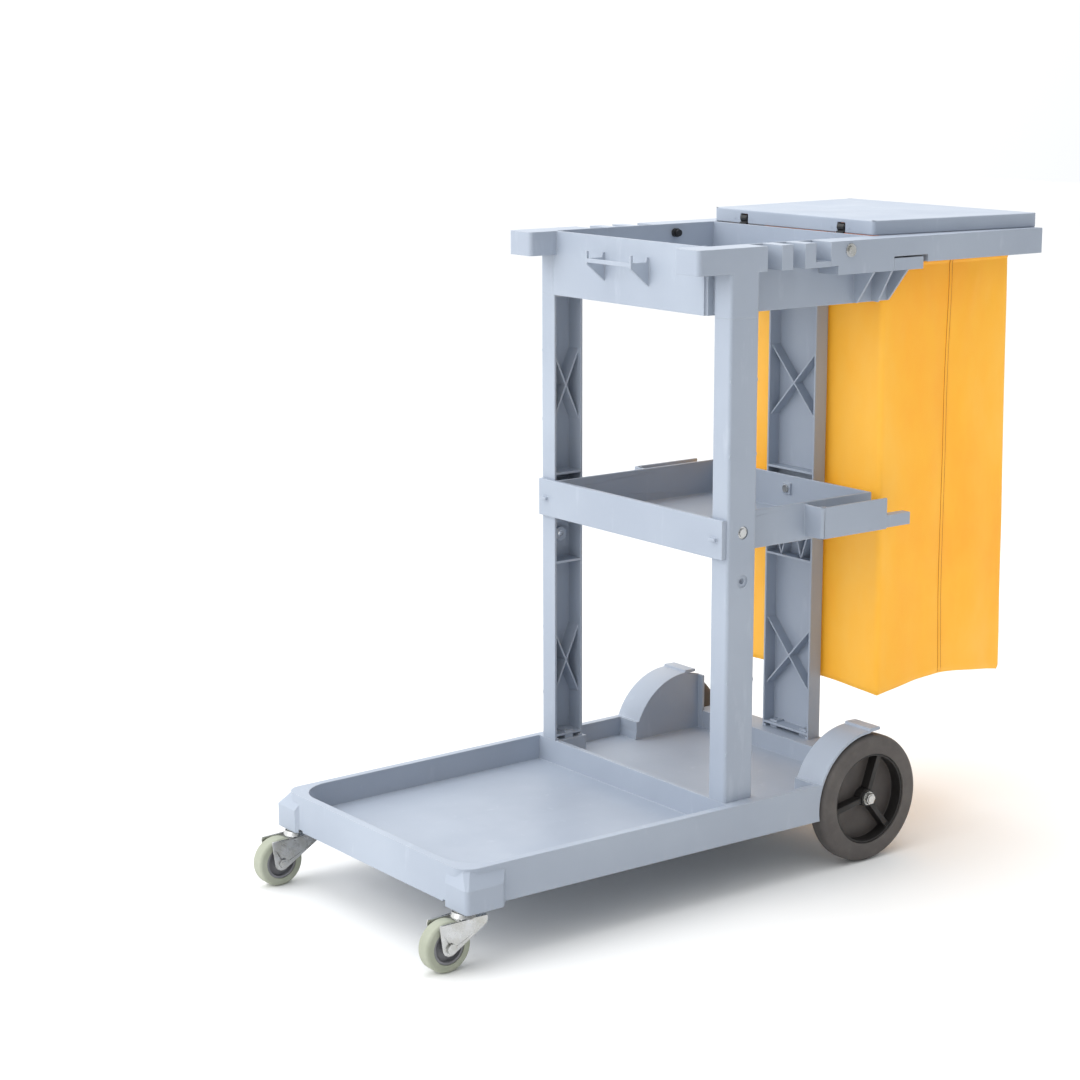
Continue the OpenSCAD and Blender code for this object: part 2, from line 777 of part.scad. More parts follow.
module lid_hinge_pins() {
    color(zinc) for (y = [-hinge_y, hinge_y])
        bar_y(hinge_x, hinge_z, pin_r, y - 13.5, y + 13.5);
}

// ---------------------------------------------------------------- rear wheels

module rear_axle() {
    color(zinc) bar_y(axle_x, axle_z, axle_r, -bush_out - 8.5, bush_out + 8.5);
}

module axle_washers() {
    color(zinc) both_sides() difference() {
        bar_y(axle_x, axle_z, 10.5, bush_out + 0.3, bush_out + 1.9);
        bar_y(axle_x, axle_z, axle_r, bush_out - 5, bush_out + 10);
    }
}

module axle_nuts() {
    color(zinc) both_sides() difference() {
        translate([axle_x, bush_out + 7.4, axle_z]) rotate([90, 0, 0]) cylinder(r = 9, h = 5.5, $fn = 6);
        bar_y(axle_x, axle_z, axle_r, bush_out - 5, bush_out + 10);
    }
}

// Half section of the tyre: a rounded tread on a flat bead
module tyre_section() {
    half = wheel_w / 2;
    r = 11;
    intersection() {
        translate([hub_r, -half]) square([wheel_r - hub_r, wheel_w]);
        union() {
            translate([wheel_r - r, half - r]) circle(r = r);
            translate([wheel_r - r, r - half]) circle(r = r);
            translate([wheel_r - r, r - half]) square([r, wheel_w - 2 * r]);
            translate([hub_r, -half]) square([wheel_r - r - hub_r, wheel_w]);
        }
    }
}

module wheel_mid(side) {
    translate([axle_x, side * wheel_y, axle_z]) rotate([side * 90, 0, 0]) children();
}

// Wheel centre: rim, recessed disc, three spokes and a hub; its outer side is at -Z before turning
module wheel_hub(side) {
    half = wheel_w / 2;
    color(black) wheel_mid(side) difference() {
        union() {
            difference() {
                translate([0, 0, -half + 2]) cylinder(r = hub_r, h = wheel_w - 4, $fn = 96);
                translate([0, 0, -half]) cylinder(r = hub_r - 4, h = half + 5, $fn = 96);
                translate([0, 0, 9]) cylinder(r = hub_r - 4, h = half, $fn = 96);
            }
            translate([0, 0, -bush_half]) cylinder(r = 14, h = 2 * bush_half);
            for (a = [70, 190, 310])
                rotate(side * a) translate([13.6, -4.5, -half + 6]) cube([hub_r - 16.6, 9, half]);
            for (a = [30, 90, 150, 210, 270, 330])
                rotate(a) translate([17.5, -2, 8]) cube([hub_r - 20.5, 4, half - 9.5]);
        }
        translate([0, 0, -half]) cylinder(r = 9.5, h = wheel_w);
    }
}

module wheel_tyre(side) {
    color(rubber) wheel_mid(side) rotate_extrude($fn = 96) tyre_section();
}

// Nylon sleeve between hub and axle, with a flange at its outer end
module wheel_bush(side) {
    color(black) wheel_mid(side) difference() {
        union() {
            translate([0, 0, -bush_half]) cylinder(r = 9.5, h = 2 * bush_half);
            translate([0, 0, -bush_half - 2]) cylinder(r = 13, h = 2);
        }
        translate([0, 0, -wheel_w]) cylinder(r = axle_r + fit_gap, h = 2 * wheel_w);
    }
}

// ---------------------------------------------------------------- casters

module at_stem(side) {
    translate([-stem_x, side * stem_y, 0]) children();
}

module at_caster_wheel(side) {
    translate([-stem_x - trail, side * stem_y, caster_r]) rotate([90, 0, 0]) children();
}

// Threaded stem, fixed upper race and the collar that seats it in the corner block
module caster_stem(side) {
    color(zinc) at_stem(side) {
        translate([0, 0, fork_top - 2.2]) cylinder(r = 8, h = 1);
        translate([0, 0, fork_top - 2.2]) cylinder(r = stem_r, h = 40);
        translate([0, 0, fork_top + 3]) cylinder(r1 = 13, r2 = 14.5, h = block_z - 0.4 - fork_top - 3);
        translate([0, 0, block_z - 1]) cylinder(r = 8, h = 6);
    }
}

// Pressed fork with its raceway; the wheel trails towards -X
module caster_fork(side) {
    half = 17;
    t = 2.4;
    cheek_top = fork_top - 4;
    cheek = [[-trail - 17, cheek_top], [-trail - 18, cheek_top - 5], [-trail - 13.5, caster_r - 2],
        [-trail - 10.5, caster_r - 7.5], [-trail - 4.5, caster_r - 10.8], [-trail + 2.5, caster_r - 10.4],
        [-trail + 9, caster_r - 6.5], [27, 60], [29, 63], [29, cheek_top]];
    color(zinc) at_stem(side) difference() {
        union() {
            for (s = [-1, 1])
                plate_xz(s > 0 ? half - t : -half, s > 0 ? half : -half + t) polygon(cheek);
            span([-13, -half, cheek_top - t], [29, half, cheek_top]);
            translate([0, 0, cheek_top - 0.6]) cylinder(r1 = 18.5, r2 = 15.5, h = fork_top + 3.3 - cheek_top);
        }
        translate([0, 0, 50]) cylinder(r = stem_r + fit_gap, h = 40);
        translate([0, 0, 50]) cylinder(r = 8.3, h = fork_top - 50.9);
        bar_y(-trail, caster_r, 4, -30, 30);
    }
}

module caster_axle(side) {
    color(zinc) at_stem(side) mirror([0, side > 0 ? 1 : 0, 0]) {
        bar_y(-trail, caster_r, 4, -18, 22);
        bar_y(-trail, caster_r, 7.5, -20.5, -17);
        translate([-trail, 20.5, caster_r]) rotate([90, 0, 0]) cylinder(r = 7.5, h = 3.5, $fn = 6);
    }
}

module caster_hub(side) {
    color(grey_hub) at_caster_wheel(side) difference() {
        union() {
            difference() {
                translate([0, 0, -11]) cylinder(r = 25, h = 22);
                for (s = [-1, 1])
                    translate([0, 0, s * 9 - 5]) rotate_extrude() translate([10, 0]) square([11, 10]);
            }
            translate([0, 0, -13.5]) cylinder(r = 9, h = 27);
        }
        translate([0, 0, -20]) cylinder(r = 4 + fit_gap, h = 40);
    }
}

module caster_tyre(side) {
    r = 5;
    color(grey_tread) at_caster_wheel(side) rotate_extrude() intersection() {
        translate([25, -12]) square([caster_r - 25, 24]);
        union() {
            for (s = [-1, 1]) translate([caster_r - r, s * (12 - r)]) circle(r = r);
            translate([20, -12]) square([caster_r - r - 20, 24]);
            translate([20, -12 + r]) square([caster_r - 20, 24 - 2 * r]);
        }
    }
}

// ---------------------------------------------------------------- fasteners

// Pan-head screw with its head at the origin's -Z side and its shank along +Z
module screw(head_r, length) {
    translate([0, 0, -2.6]) cylinder(r = head_r, h = 2.6);
    translate([0, 0, -eps]) cylinder(r = bolt_r, h = length);
}

module post_foot_screws() {
    color(zinc) {
        both_sides() for (y = [post_in + 9, half_w - 9])
            translate([hole_x, y, rim_z - wall_t]) screw(6, 15);
        for (s = [-1, 1])
            translate([rear_post_x + 14, s * 35, rim_z - wall_t]) screw(6, 15);
    }
}

module rear_post_screws() {
    color(zinc) for (s = [-1, 1])
        translate([tray_end, s * 35, 890]) rotate([0, 90, 0]) screw(6, 26);
}

module shelf_side_screws() {
    color(zinc) both_sides()
        translate([hole_x, half_w - 2.2, screw_z]) rotate([90, 0, 0]) {
            screw(6.2, half_w - shelf_half + 4.8);
            translate([0, 0, -0.4]) cylinder(r = 9, h = 0.4 - eps);
        }
}

module shelf_rear_screw() {
    color(zinc) translate([rear_post_x - 8, 0, screw_z]) rotate([0, 90, 0]) screw(6.2, 24);
}

module frame_washers() {
    color(zinc) both_sides() difference() {
        bar_y(frame_bolt[0], frame_bolt[1], 10, half_w, half_w + 1.4);
        bar_y(frame_bolt[0], frame_bolt[1], 4.2, half_w - 1, half_w + 3);
    }
}

module frame_bolts() {
    color(zinc) both_sides() {
        bar_y(frame_bolt[0], frame_bolt[1], 4.1, tray_half - 10, half_w + 1.5);
        bar_y(frame_bolt[0], frame_bolt[1], 6.6, half_w + 1.4, half_w + 4);
    }
}

// Round black nuts that cover the bolts' ends inside the tray
module frame_bolt_caps() {
    color(black) both_sides() difference() {
        union() {
            bar_y(frame_bolt[0], frame_bolt[1], 6.8, tray_half - 7, tray_half);
            bar_y(frame_bolt[0], frame_bolt[1], 5.4, tray_half - 12, tray_half - 7 + eps);
        }
        bar_y(frame_bolt[0], frame_bolt[1], 4.1, tray_half - 10, tray_half + 1);
    }
}

// ---------------------------------------------------------------- the cart

module placed() {
    translate([x_shift, 0, 0]) children();
}

placed() base_deck();
placed() side_post_left();
placed() side_post_right();
placed() rear_post();
placed() middle_shelf();
placed() top_tray();
placed() handle_frame();
placed() waste_bag();
placed() bag_grommets();
placed() lid();
placed() lid_hinge_clips();
placed() lid_hinge_pins();
placed() rear_axle();
placed() axle_washers();
placed() axle_nuts();
placed() wheel_hub(-1);  // wheel_hub_left
placed() wheel_hub(1);  // wheel_hub_right
placed() wheel_tyre(-1);  // wheel_tyre_left
placed() wheel_tyre(1);  // wheel_tyre_right
placed() wheel_bush(-1);  // wheel_bush_left
placed() wheel_bush(1);  // wheel_bush_right
placed() caster_stem(-1);  // caster_stem_left
placed() caster_stem(1);  // caster_stem_right
placed() caster_fork(-1);  // caster_fork_left
placed() caster_fork(1);  // caster_fork_right
placed() caster_axle(-1);  // caster_axle_left
placed() caster_axle(1);  // caster_axle_right
placed() caster_hub(-1);  // caster_hub_left
placed() caster_hub(1);  // caster_hub_right
placed() caster_tyre(-1);  // caster_tyre_left
placed() caster_tyre(1);  // caster_tyre_right
placed() post_foot_screws();
placed() rear_post_screws();
placed() shelf_side_screws();
placed() shelf_rear_screw();
placed() frame_bolts();
placed() frame_washers();
placed() frame_bolt_caps();
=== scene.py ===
"""Looks of the housekeeping cart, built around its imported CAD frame. Metres, Z up."""

import json
import math

import bmesh
import bpy
from mathutils import Matrix, Vector, noise


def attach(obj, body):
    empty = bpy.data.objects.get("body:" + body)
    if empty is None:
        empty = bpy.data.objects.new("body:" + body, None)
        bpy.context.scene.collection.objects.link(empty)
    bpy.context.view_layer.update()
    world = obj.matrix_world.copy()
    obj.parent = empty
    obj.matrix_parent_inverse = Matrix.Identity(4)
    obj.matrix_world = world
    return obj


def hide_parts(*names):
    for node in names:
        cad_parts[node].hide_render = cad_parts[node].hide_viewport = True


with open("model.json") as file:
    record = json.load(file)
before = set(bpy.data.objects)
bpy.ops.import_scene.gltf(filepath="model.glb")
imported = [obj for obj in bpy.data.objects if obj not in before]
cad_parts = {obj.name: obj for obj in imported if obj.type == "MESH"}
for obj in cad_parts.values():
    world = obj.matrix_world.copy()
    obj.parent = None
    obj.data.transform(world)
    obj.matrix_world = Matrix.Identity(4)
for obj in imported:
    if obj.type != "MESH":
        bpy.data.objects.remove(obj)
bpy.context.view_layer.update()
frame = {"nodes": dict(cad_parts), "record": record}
nodes = frame["nodes"]
scene = bpy.context.scene

# ------------------------------------------------------------------ shared numbers

SHIFT = -0.05625  # from the posts' front face to the middle of the cart
WHEEL_DISC_Y = 0.2275  # the outer face of the disc between a wheel's spokes

# ------------------------------------------------------------------ materials


def srgb(hex_code):
    """Linear colour from a hex code as seen on a screen."""
    out = []
    for i in (0, 2, 4):
        c = int(hex_code[i : i + 2], 16) / 255
        out.append(c / 12.92 if c <= 0.04045 else ((c + 0.055) / 1.055) ** 2.4)
    return (*out, 1.0)


class Nodes:
    """A short way to build a material's node tree."""

    def __init__(self, name):
        self.mat = bpy.data.materials.new(name)
        self.mat.use_nodes = True
        self.tree = self.mat.node_tree
        self.tree.nodes.clear()
        self.out = self.new("ShaderNodeOutputMaterial")
        self.bsdf = self.new("ShaderNodeBsdfPrincipled")
        self.link(self.bsdf.outputs[0], self.out.inputs["Surface"])
        self.coord = self.new("ShaderNodeTexCoord").outputs["Object"]

    def new(self, kind, **props):
        node = self.tree.nodes.new(kind)
        for key, value in props.items():
            setattr(node, key, value)
        return node

    def link(self, a, b):
        self.tree.links.new(a, b)

    def feed(self, pairs):
        """Link each value that is a socket, and set each one that is a plain value."""
        for socket, value in pairs:
            if isinstance(value, bpy.types.NodeSocket):
                self.link(value, socket)
            else:
                socket.default_value = value

    def set(self, **sockets):
        for key, value in sockets.items():
            self.bsdf.inputs[key.replace("_", " ")].default_value = value

    def noise(self, scale, detail=3.0, rough=0.5, stretch=None):
        vector = self.coord
        if stretch:
            mapping = self.new("ShaderNodeMapping")
            mapping.inputs["Scale"].default_value = stretch
            self.link(vector, mapping.inputs["Vector"])
            vector = mapping.outputs[0]
        node = self.new("ShaderNodeTexNoise")
        node.inputs["Scale"].default_value = scale
        node.inputs["Detail"].default_value = detail
        node.inputs["Roughness"].default_value = rough
        self.link(vector, node.inputs["Vector"])
        return node.outputs["Fac"]

    def ramp(self, fac, stops):
        node = self.new("ShaderNodeValToRGB")
        ramp = node.color_ramp
        while len(ramp.elements) < len(stops):
            ramp.elements.new(0.5)
        for element, (at, value) in zip(ramp.elements, stops):
            element.position = at
            element.color = value if isinstance(value, tuple) else (value, value, value, 1)
        self.link(fac, node.inputs["Fac"])
        return node.outputs["Color"]

    def mix(self, fac, a, b):
        node = self.new("ShaderNodeMix", data_type="RGBA")
        # this node's float factor is its first input, and its colours are inputs 6 and 7
        self.feed(((node.inputs[0], fac), (node.inputs[6], a), (node.inputs[7], b)))
        return node.outputs[2]

    def math(self, op, a, b=0.0):
        node = self.new("ShaderNodeMath", operation=op)
        self.feed(zip(node.inputs, (a, b)))
        return node.outputs[0]

    def colour(self, value):
        self.link(value, self.bsdf.inputs["Base Color"])

    def rough(self, value):
        self.link(value, self.bsdf.inputs["Roughness"])

    def bump(self, height, strength, distance, below=None):
        node = self.new("ShaderNodeBump")
        node.inputs["Strength"].default_value = strength
        node.inputs["Distance"].default_value = distance
        self.link(height, node.inputs["Height"])
        if below is not None:
            self.link(below, node.inputs["Normal"])
        self.link(node.outputs[0], self.bsdf.inputs["Normal"])
        return node.outputs[0]


BEVEL_SAMPLES = 5
GRAIN = 1400.0  # moulded grain, in cells per metre


def soft_edges(n, radius):
    """Normals that run round the sharp edges, and a mask that is 1 along them."""
    bevel = n.new("ShaderNodeBevel", samples=BEVEL_SAMPLES)
    bevel.inputs["Radius"].default_value = radius
    geometry = n.new("ShaderNodeNewGeometry")
    dot = n.new("ShaderNodeVectorMath", operation="DOT_PRODUCT")
    n.link(bevel.outputs[0], dot.inputs[0])
    n.link(geometry.outputs["True Normal"], dot.inputs[1])
    # the cosine of the angle between the two normals: 1 on a flat face
    return bevel.outputs[0], n.ramp(dot.outputs["Value"], ((0.80, 1.0), (0.985, 0.0)))


def moulded_plastic():
    """The cart's blue-grey body, painted a little lighter along its sharp edges: partly rubbed
    wear, partly a painted highlight where the edges catch the light.
    """
    n = Nodes("grey_plastic")
    base, shade, light = srgb("A8B1BE"), srgb("9FA8B6"), srgb("CDD4DD")
    cloud = n.noise(5.0, 4.0)
    colour = n.mix(n.ramp(cloud, ((0.35, 0.0), (0.7, 1.0))), shade, base)
    # faint rubbed streaks and specks
    scuff = n.ramp(n.noise(38.0, 8.0, 0.65, (1.0, 1.0, 0.25)), ((0.60, 0.0), (0.74, 0.22)))
    colour = n.mix(scuff, colour, light)
    rounded, edge = soft_edges(n, 0.0016)
    # painted highlight along every sharp edge, which also stands for rubbed wear on the rims
    colour = n.mix(n.math("MULTIPLY", edge, 0.55), colour, light)
    n.colour(colour)
    n.rough(n.ramp(n.noise(14.0, 5.0), ((0.3, 0.38), (0.7, 0.52))))
    n.set(IOR=1.49, Specular_IOR_Level=0.5)
    waves = n.bump(n.noise(9.0, 2.0), 0.25, 0.0006, rounded)
    n.bump(n.noise(1900.0, 2.0), 0.16, 0.00012, waves)
    return n.mat


def wheel_plastic():
    """Dark ribs, with a lighter, dusty disc between them."""
    n = Nodes("wheel_plastic")
    axes = n.new("ShaderNodeSeparateXYZ")
    n.link(n.coord, axes.inputs[0])
    across = n.math("ABSOLUTE", axes.outputs["Y"])
    compare = n.new("ShaderNodeMath", operation="COMPARE")
    n.link(across, compare.inputs[0])
    compare.inputs[1].default_value = WHEEL_DISC_Y
    compare.inputs[2].default_value = 0.0005  # within half a millimetre
    dust = n.ramp(n.noise(30.0, 6.0), ((0.35, srgb("474240")), (0.7, srgb("534E4B"))))
    n.colour(n.mix(compare.outputs[0], srgb("1F1D1C"), dust))
    n.rough(n.ramp(n.noise(40.0, 4.0), ((0.3, 0.42), (0.7, 0.58))))
    n.bump(n.noise(GRAIN, 2.0), 0.1, 0.00012, soft_edges(n, 0.0010)[0])
    return n.mat


def yellow_vinyl():
    """Coated cloth: a faint weave under a soft, uneven sheen."""
    n = Nodes("yellow_vinyl")
    deep, body, pale = srgb("FBA82A"), srgb("FFBA36"), srgb("FFC652")
    cloud = n.noise(6.0, 5.0, 0.6, (1.0, 1.0, 0.45))
    n.colour(n.ramp(cloud, ((0.25, deep), (0.5, body), (0.78, pale))))
    n.rough(n.ramp(n.noise(22.0, 4.0), ((0.3, 0.42), (0.7, 0.56))))
    n.set(IOR=1.5, Specular_IOR_Level=0.4, Sheen_Weight=0.05, Sheen_Roughness=0.5)
    # painted glow: the cloth gives off a faint light of its own, which brightens it past what its
    # colour allows and stands for light that comes through the thin cloth
    n.set(Emission_Color=srgb("FFAE28"), Emission_Strength=0.13)
    weave = []
    for axis in ("X", "Y", "Z"):
        wave = n.new("ShaderNodeTexWave", wave_type="BANDS", bands_direction=axis)
        wave.inputs["Scale"].default_value = 260.0
        wave.inputs["Distortion"].default_value = 0.3
        n.link(n.coord, wave.inputs["Vector"])
        weave.append(wave.outputs["Fac"])
    cloth = n.math("ADD", n.math("MAXIMUM", weave[0], weave[1]), weave[2])
    creases = n.bump(n.noise(30.0, 4.0, 0.55, (1.0, 1.0, 0.5)), 0.22, 0.0012)
    n.bump(cloth, 0.10, 0.00025, creases)
    return n.mat


def plain_plastic(name, hex_code, rough):
    """One colour, with lighter clouds."""
    n = Nodes(name)
    a = srgb(hex_code)
    b = tuple(min(1.0, c * 1.35 + 0.004) for c in a[:3]) + (1.0,)
    n.colour(n.mix(n.ramp(n.noise(25.0, 5.0), ((0.4, 0.0), (0.75, 0.6))), a, b))
    n.rough(n.ramp(n.noise(40.0, 4.0), ((0.3, rough - 0.06), (0.7, rough + 0.08))))
    n.bump(n.noise(GRAIN, 2.0), 0.1, 0.00012)
    return n.mat


def tyre_rubber(name, hex_code, dusty):
    """Matt rubber with dust in clouds."""
    n = Nodes(name)
    a, b = srgb(hex_code), srgb(dusty)
    dust = n.ramp(n.noise(18.0, 7.0, 0.65), ((0.42, 0.0), (0.72, 0.65)))
    n.colour(n.mix(dust, a, b))
    n.rough(n.ramp(n.noise(30.0, 4.0), ((0.3, 0.60), (0.7, 0.80))))
    n.set(Specular_IOR_Level=0.35)
    n.bump(n.noise(700.0, 4.0), 0.3, 0.0002)
    return n.mat


def zinc_steel():
    """Plated steel, slightly dull and uneven."""
    n = Nodes("zinc_steel")
    a, b = srgb("C9CACB"), srgb("AFAEA6")
    n.colour(n.mix(n.ramp(n.noise(60.0, 4.0), ((0.35, 0.0), (0.75, 0.8))), a, b))
    n.rough(n.ramp(n.noise(90.0, 5.0), ((0.3, 0.20), (0.75, 0.38))))
    n.set(Metallic=1.0)
    n.bump(n.noise(420.0, 3.0), 0.12, 0.00015, soft_edges(n, 0.0007)[0])
    return n.mat


def brass():
    n = Nodes("brass")
    a, b = srgb("D9B76A"), srgb("A98B4A")
    n.colour(n.mix(n.ramp(n.noise(80.0, 4.0), ((0.35, 0.0), (0.75, 0.7))), a, b))
    n.rough(n.ramp(n.noise(120.0, 3.0), ((0.3, 0.24), (0.75, 0.40))))
    n.set(Metallic=1.0)
    return n.mat


MATERIALS = {
    "grey_plastic": moulded_plastic(),
    "yellow_vinyl": yellow_vinyl(),
    "black_plastic": plain_plastic("black_plastic", "1B1B1C", 0.42),
    "wheel_plastic": wheel_plastic(),
    "caster_plastic": plain_plastic("caster_plastic", "77777B", 0.45),
    "wheel_rubber": tyre_rubber("wheel_rubber", "5A5654", "716C68"),
    "caster_rubber": tyre_rubber("caster_rubber", "9FA392", "B3B6A8"),
    "zinc_steel": zinc_steel(),
    "brass": brass(),
    "thread": plain_plastic("thread", "A8702A", 0.7),
}

slots = {s["node"]: s["material_slot"] for s in frame["record"]["subparts"]}
for name, node in nodes.items():
    node.data.materials.clear()
    node.data.materials.append(MATERIALS[slots[name]])

# ------------------------------------------------------------------ softened edges on the CAD parts

# Only the parts without small holes: the material's soft_edges stands in on the others.
EDGE_RADIUS = {
    "lid": 0.0016,
    "middle_shelf": 0.0012,
    "wheel_hub_left": 0.0010,
    "wheel_hub_right": 0.0010,
    "caster_fork_left": 0.0006,
    "caster_fork_right": 0.0006,
    "caster_hub_left": 0.0008,
    "caster_hub_right": 0.0008,
    "lid_hinge_clips": 0.0007,
}
EDGE_ANGLE = math.radians(32)
WELD_REACH = 0.00002


def soften(node, radius):
    """A rounded edge wherever two faces meet at more than EDGE_ANGLE."""
    node.data.polygons.foreach_set("use_smooth", [True] * len(node.data.polygons))
    weld = node.modifiers.new("weld", "WELD")
    weld.merge_threshold = WELD_REACH
    bevel = node.modifiers.new("bevel", "BEVEL")
    bevel.width = radius
    bevel.segments = 2
    bevel.limit_method = "ANGLE"
    bevel.angle_limit = EDGE_ANGLE
    bevel.use_clamp_overlap = False
    even = node.modifiers.new("even", "WEIGHTED_NORMAL")
    even.weight = 100
    even.keep_sharp = False


for name, radius in EDGE_RADIUS.items():
    soften(nodes[name], radius)

# ------------------------------------------------------------------ the vinyl bag

BAG_FRONT, BAG_REAR = 0.353 + SHIFT, 0.632 + SHIFT
BAG_TOP, BAG_HEM, BAG_FOOT = 0.944, 0.906, 0.2345  # heights
HALF_HEM, HALF_FOOT = 0.168, 0.180  # half widths at the hem and at the lower edge
CLOTH = 0.0019  # the folded hem's thickness; below it the cloth is THIN times that
THIN = 0.55
SIDE_STEPS = 48  # places along one side of the bag


def smooth(t):
    """0 to 1, with a soft start and a soft end."""
    t = min(1.0, max(0.0, t))
    return t * t * (3 - 2 * t)


def hill(x, centre, width):
    """A smooth hill of height 1."""
    return math.exp(-(((x - centre) / width) ** 2))


class Bag:
    """The bag's outer surface. A ring starts in the middle of the front face, at u = 0,
    and runs by the left side (u = 1), the rear (u = 2) and the right side (u = 3)."""

    CORNER = 0.0065
    EYELETS = ((-0.45, 0.35), (0.50, -0.30))  # where a side's creases start, and how they lean

    def __init__(self):
        self.cx = (BAG_FRONT + BAG_REAR) / 2
        self.a = (BAG_REAR - BAG_FRONT) / 2

    def half_y(self, z):
        share = min(1.0, max(0.0, (BAG_HEM - z) / (BAG_HEM - BAG_FOOT)))
        return HALF_HEM + (HALF_FOOT - HALF_HEM) * share

    def ring(self, u, z):
        """Point and outward direction on the plain ring, before it sags."""
        a, b = self.a, self.half_y(z)
        r = self.CORNER
        # along a side f goes from corner to corner
        side, f = int(u + 0.5) % 4, (u + 0.5) % 1.0
        half = b if side in (0, 2) else a
        length = 2 * half
        s = (f - 0.5) * length
        flat = half - r
        if abs(s) <= flat:
            along, out, turn = s, 0.0, 0.0
        else:
            turn = (abs(s) - flat) / r * (math.pi / 4)
            along = math.copysign(flat + r * math.sin(turn), s)
            out = r * math.cos(turn) - r
            turn = math.copysign(turn, s)
        depth = (a if side in (0, 2) else b) + out
        # local frame: the outward direction and the way round
        outward, way = (
            (Vector((-1, 0, 0)), Vector((0, -1, 0))),
            (Vector((0, -1, 0)), Vector((1, 0, 0))),
            (Vector((1, 0, 0)), Vector((0, 1, 0))),
            (Vector((0, 1, 0)), Vector((-1, 0, 0))),
        )[side]
        point = Vector((self.cx, 0, z)) + outward * depth + way * along
        normal = outward * math.cos(turn) + way * math.sin(turn)
        return point, normal, side, along / half

    def sag(self, side, v, z, where):
        """How far the cloth stands out from the plain ring."""
        drop = smooth((BAG_HEM + 0.004 - z) / 0.30)
        middle = 1 - abs(v) ** 2.2
        x, y = where.x, where.y
        soft = noise.noise(Vector((x * 5.0, y * 5.0, z * 2.3 + side * 3.7))) * 0.0042
        fine = noise.noise(Vector((x * 17.0 + 9, y * 17.0, z * 7.0))) * 0.0011
        folds = math.sin(9.5 * v + 2.1 * side + 2.6 * z) * 0.0011
        out = middle * drop * (soft + folds - 0.0010) + fine * smooth((BAG_TOP - z) / 0.12)
        if side in (1, 3):
            # pulled in along the seam, and fuller on each side of it
            way = 1 if side == 1 else -1
            out -= 0.0022 * drop * hill(v, 0.02 * way, 0.16)
            full = hill(v, 0.55, 0.25) + hill(v, -0.55, 0.25)
            out += 0.0022 * drop * full * smooth((0.7 - z) / 0.4)
            # creases that start at the eyelets
            for at, lean in self.EYELETS:
                fall = (BAG_HEM - z) / 0.16
                if 0 < fall < 1.2:
                    crease = hill(v, at + lean * fall, 0.05 + 0.05 * fall)
                    out += 0.0016 * crease * (1.2 - fall) * smooth(fall * 5)
            # dents
            out -= 0.0014 * hill(v, 0.20 * way, 0.030) * hill(z, 0.872, 0.008)
            out -= 0.0018 * hill(v, 0.72 * way, 0.055) * hill(z, 0.850, 0.016)
            out -= 0.0012 * hill(v, -0.62 * way, 0.05) * hill(z, 0.800, 0.02)
        else:
            out += 0.0018 * drop * hill(v, 0.0, 0.6) * smooth((0.62 - z) / 0.3)
            out -= 0.0015 * hill(v, 0.45, 0.10) * hill(z, 0.770, 0.012)
            out -= 0.0012 * hill(v, -0.35, 0.12) * hill(z, 0.660, 0.010)
        return out

    def hem(self, z):
        """The folded hem stands out by one thickness of cloth."""
        return 0.0009 * smooth((z - BAG_HEM) / 0.0016 + 0.5)

    def foot(self, side, v):
        """Height of the lower edge: it hangs lowest at the corners."""
        rise = 0.015 if side in (1, 3) else 0.0065
        return BAG_FOOT + rise * (1 - abs(v) ** 1.7)

    def at(self, u, t, lift=0.0):
        """Point at u round the bag and t of the way from the top to the lower edge."""
        _, _, side, v = self.ring(u, BAG_TOP)
        foot = self.foot(side, max(-1.0, min(1.0, v)))
        z = BAG_TOP + (foot - BAG_TOP) * t
        point, normal, side, v = self.ring(u, z)
        v = max(-1.0, min(1.0, v))
        tuck = 0.0022 * smooth((t - 0.990) / 0.010)
        out = self.sag(side, v, z, point) + self.hem(z) - tuck
        return point + normal * (out + lift), normal


def ring_steps():
    """Places round the bag, closer together at the corners."""
    steps = []
    for side in range(4):
        for k in range(SIDE_STEPS):
            f = k / SIDE_STEPS
            steps.append(side - 0.5 + f - 0.0275 * math.sin(4 * math.pi * f))
    return steps


def height_steps():
    """Shares of the height, closer together at the hem and at the lower edge."""
    hem = (BAG_TOP - BAG_HEM) / (BAG_TOP - BAG_FOOT)
    steps = [0, 0.5 * hem, hem - 0.0022, hem - 0.0008, hem + 0.0006, hem + 0.0022]
    steps += [hem + 0.006 + (0.985 - hem - 0.006) * k / 84 for k in range(85)]
    return steps + [0.989, 0.993, 0.9965, 0.9985, 1.0]


HEM_SHARE = 0.056
BOTTOM_RISE = 0.004
BOTTOM_RINGS = (0.97, 0.9, 0.8, 0.68, 0.55, 0.42, 0.3, 0.19, 0.09)


def add_piece(name, mesh, slot):
    """Turn a bmesh into a smooth object with one material."""
    bmesh.ops.recalc_face_normals(mesh, faces=mesh.faces)
    data = bpy.data.meshes.new(name)
    mesh.to_mesh(data)
    mesh.free()
    data.polygons.foreach_set("use_smooth", [True] * len(data.polygons))
    data.materials.append(MATERIALS[slot])
    piece = bpy.data.objects.new(name, data)
    scene.collection.objects.link(piece)
    return piece


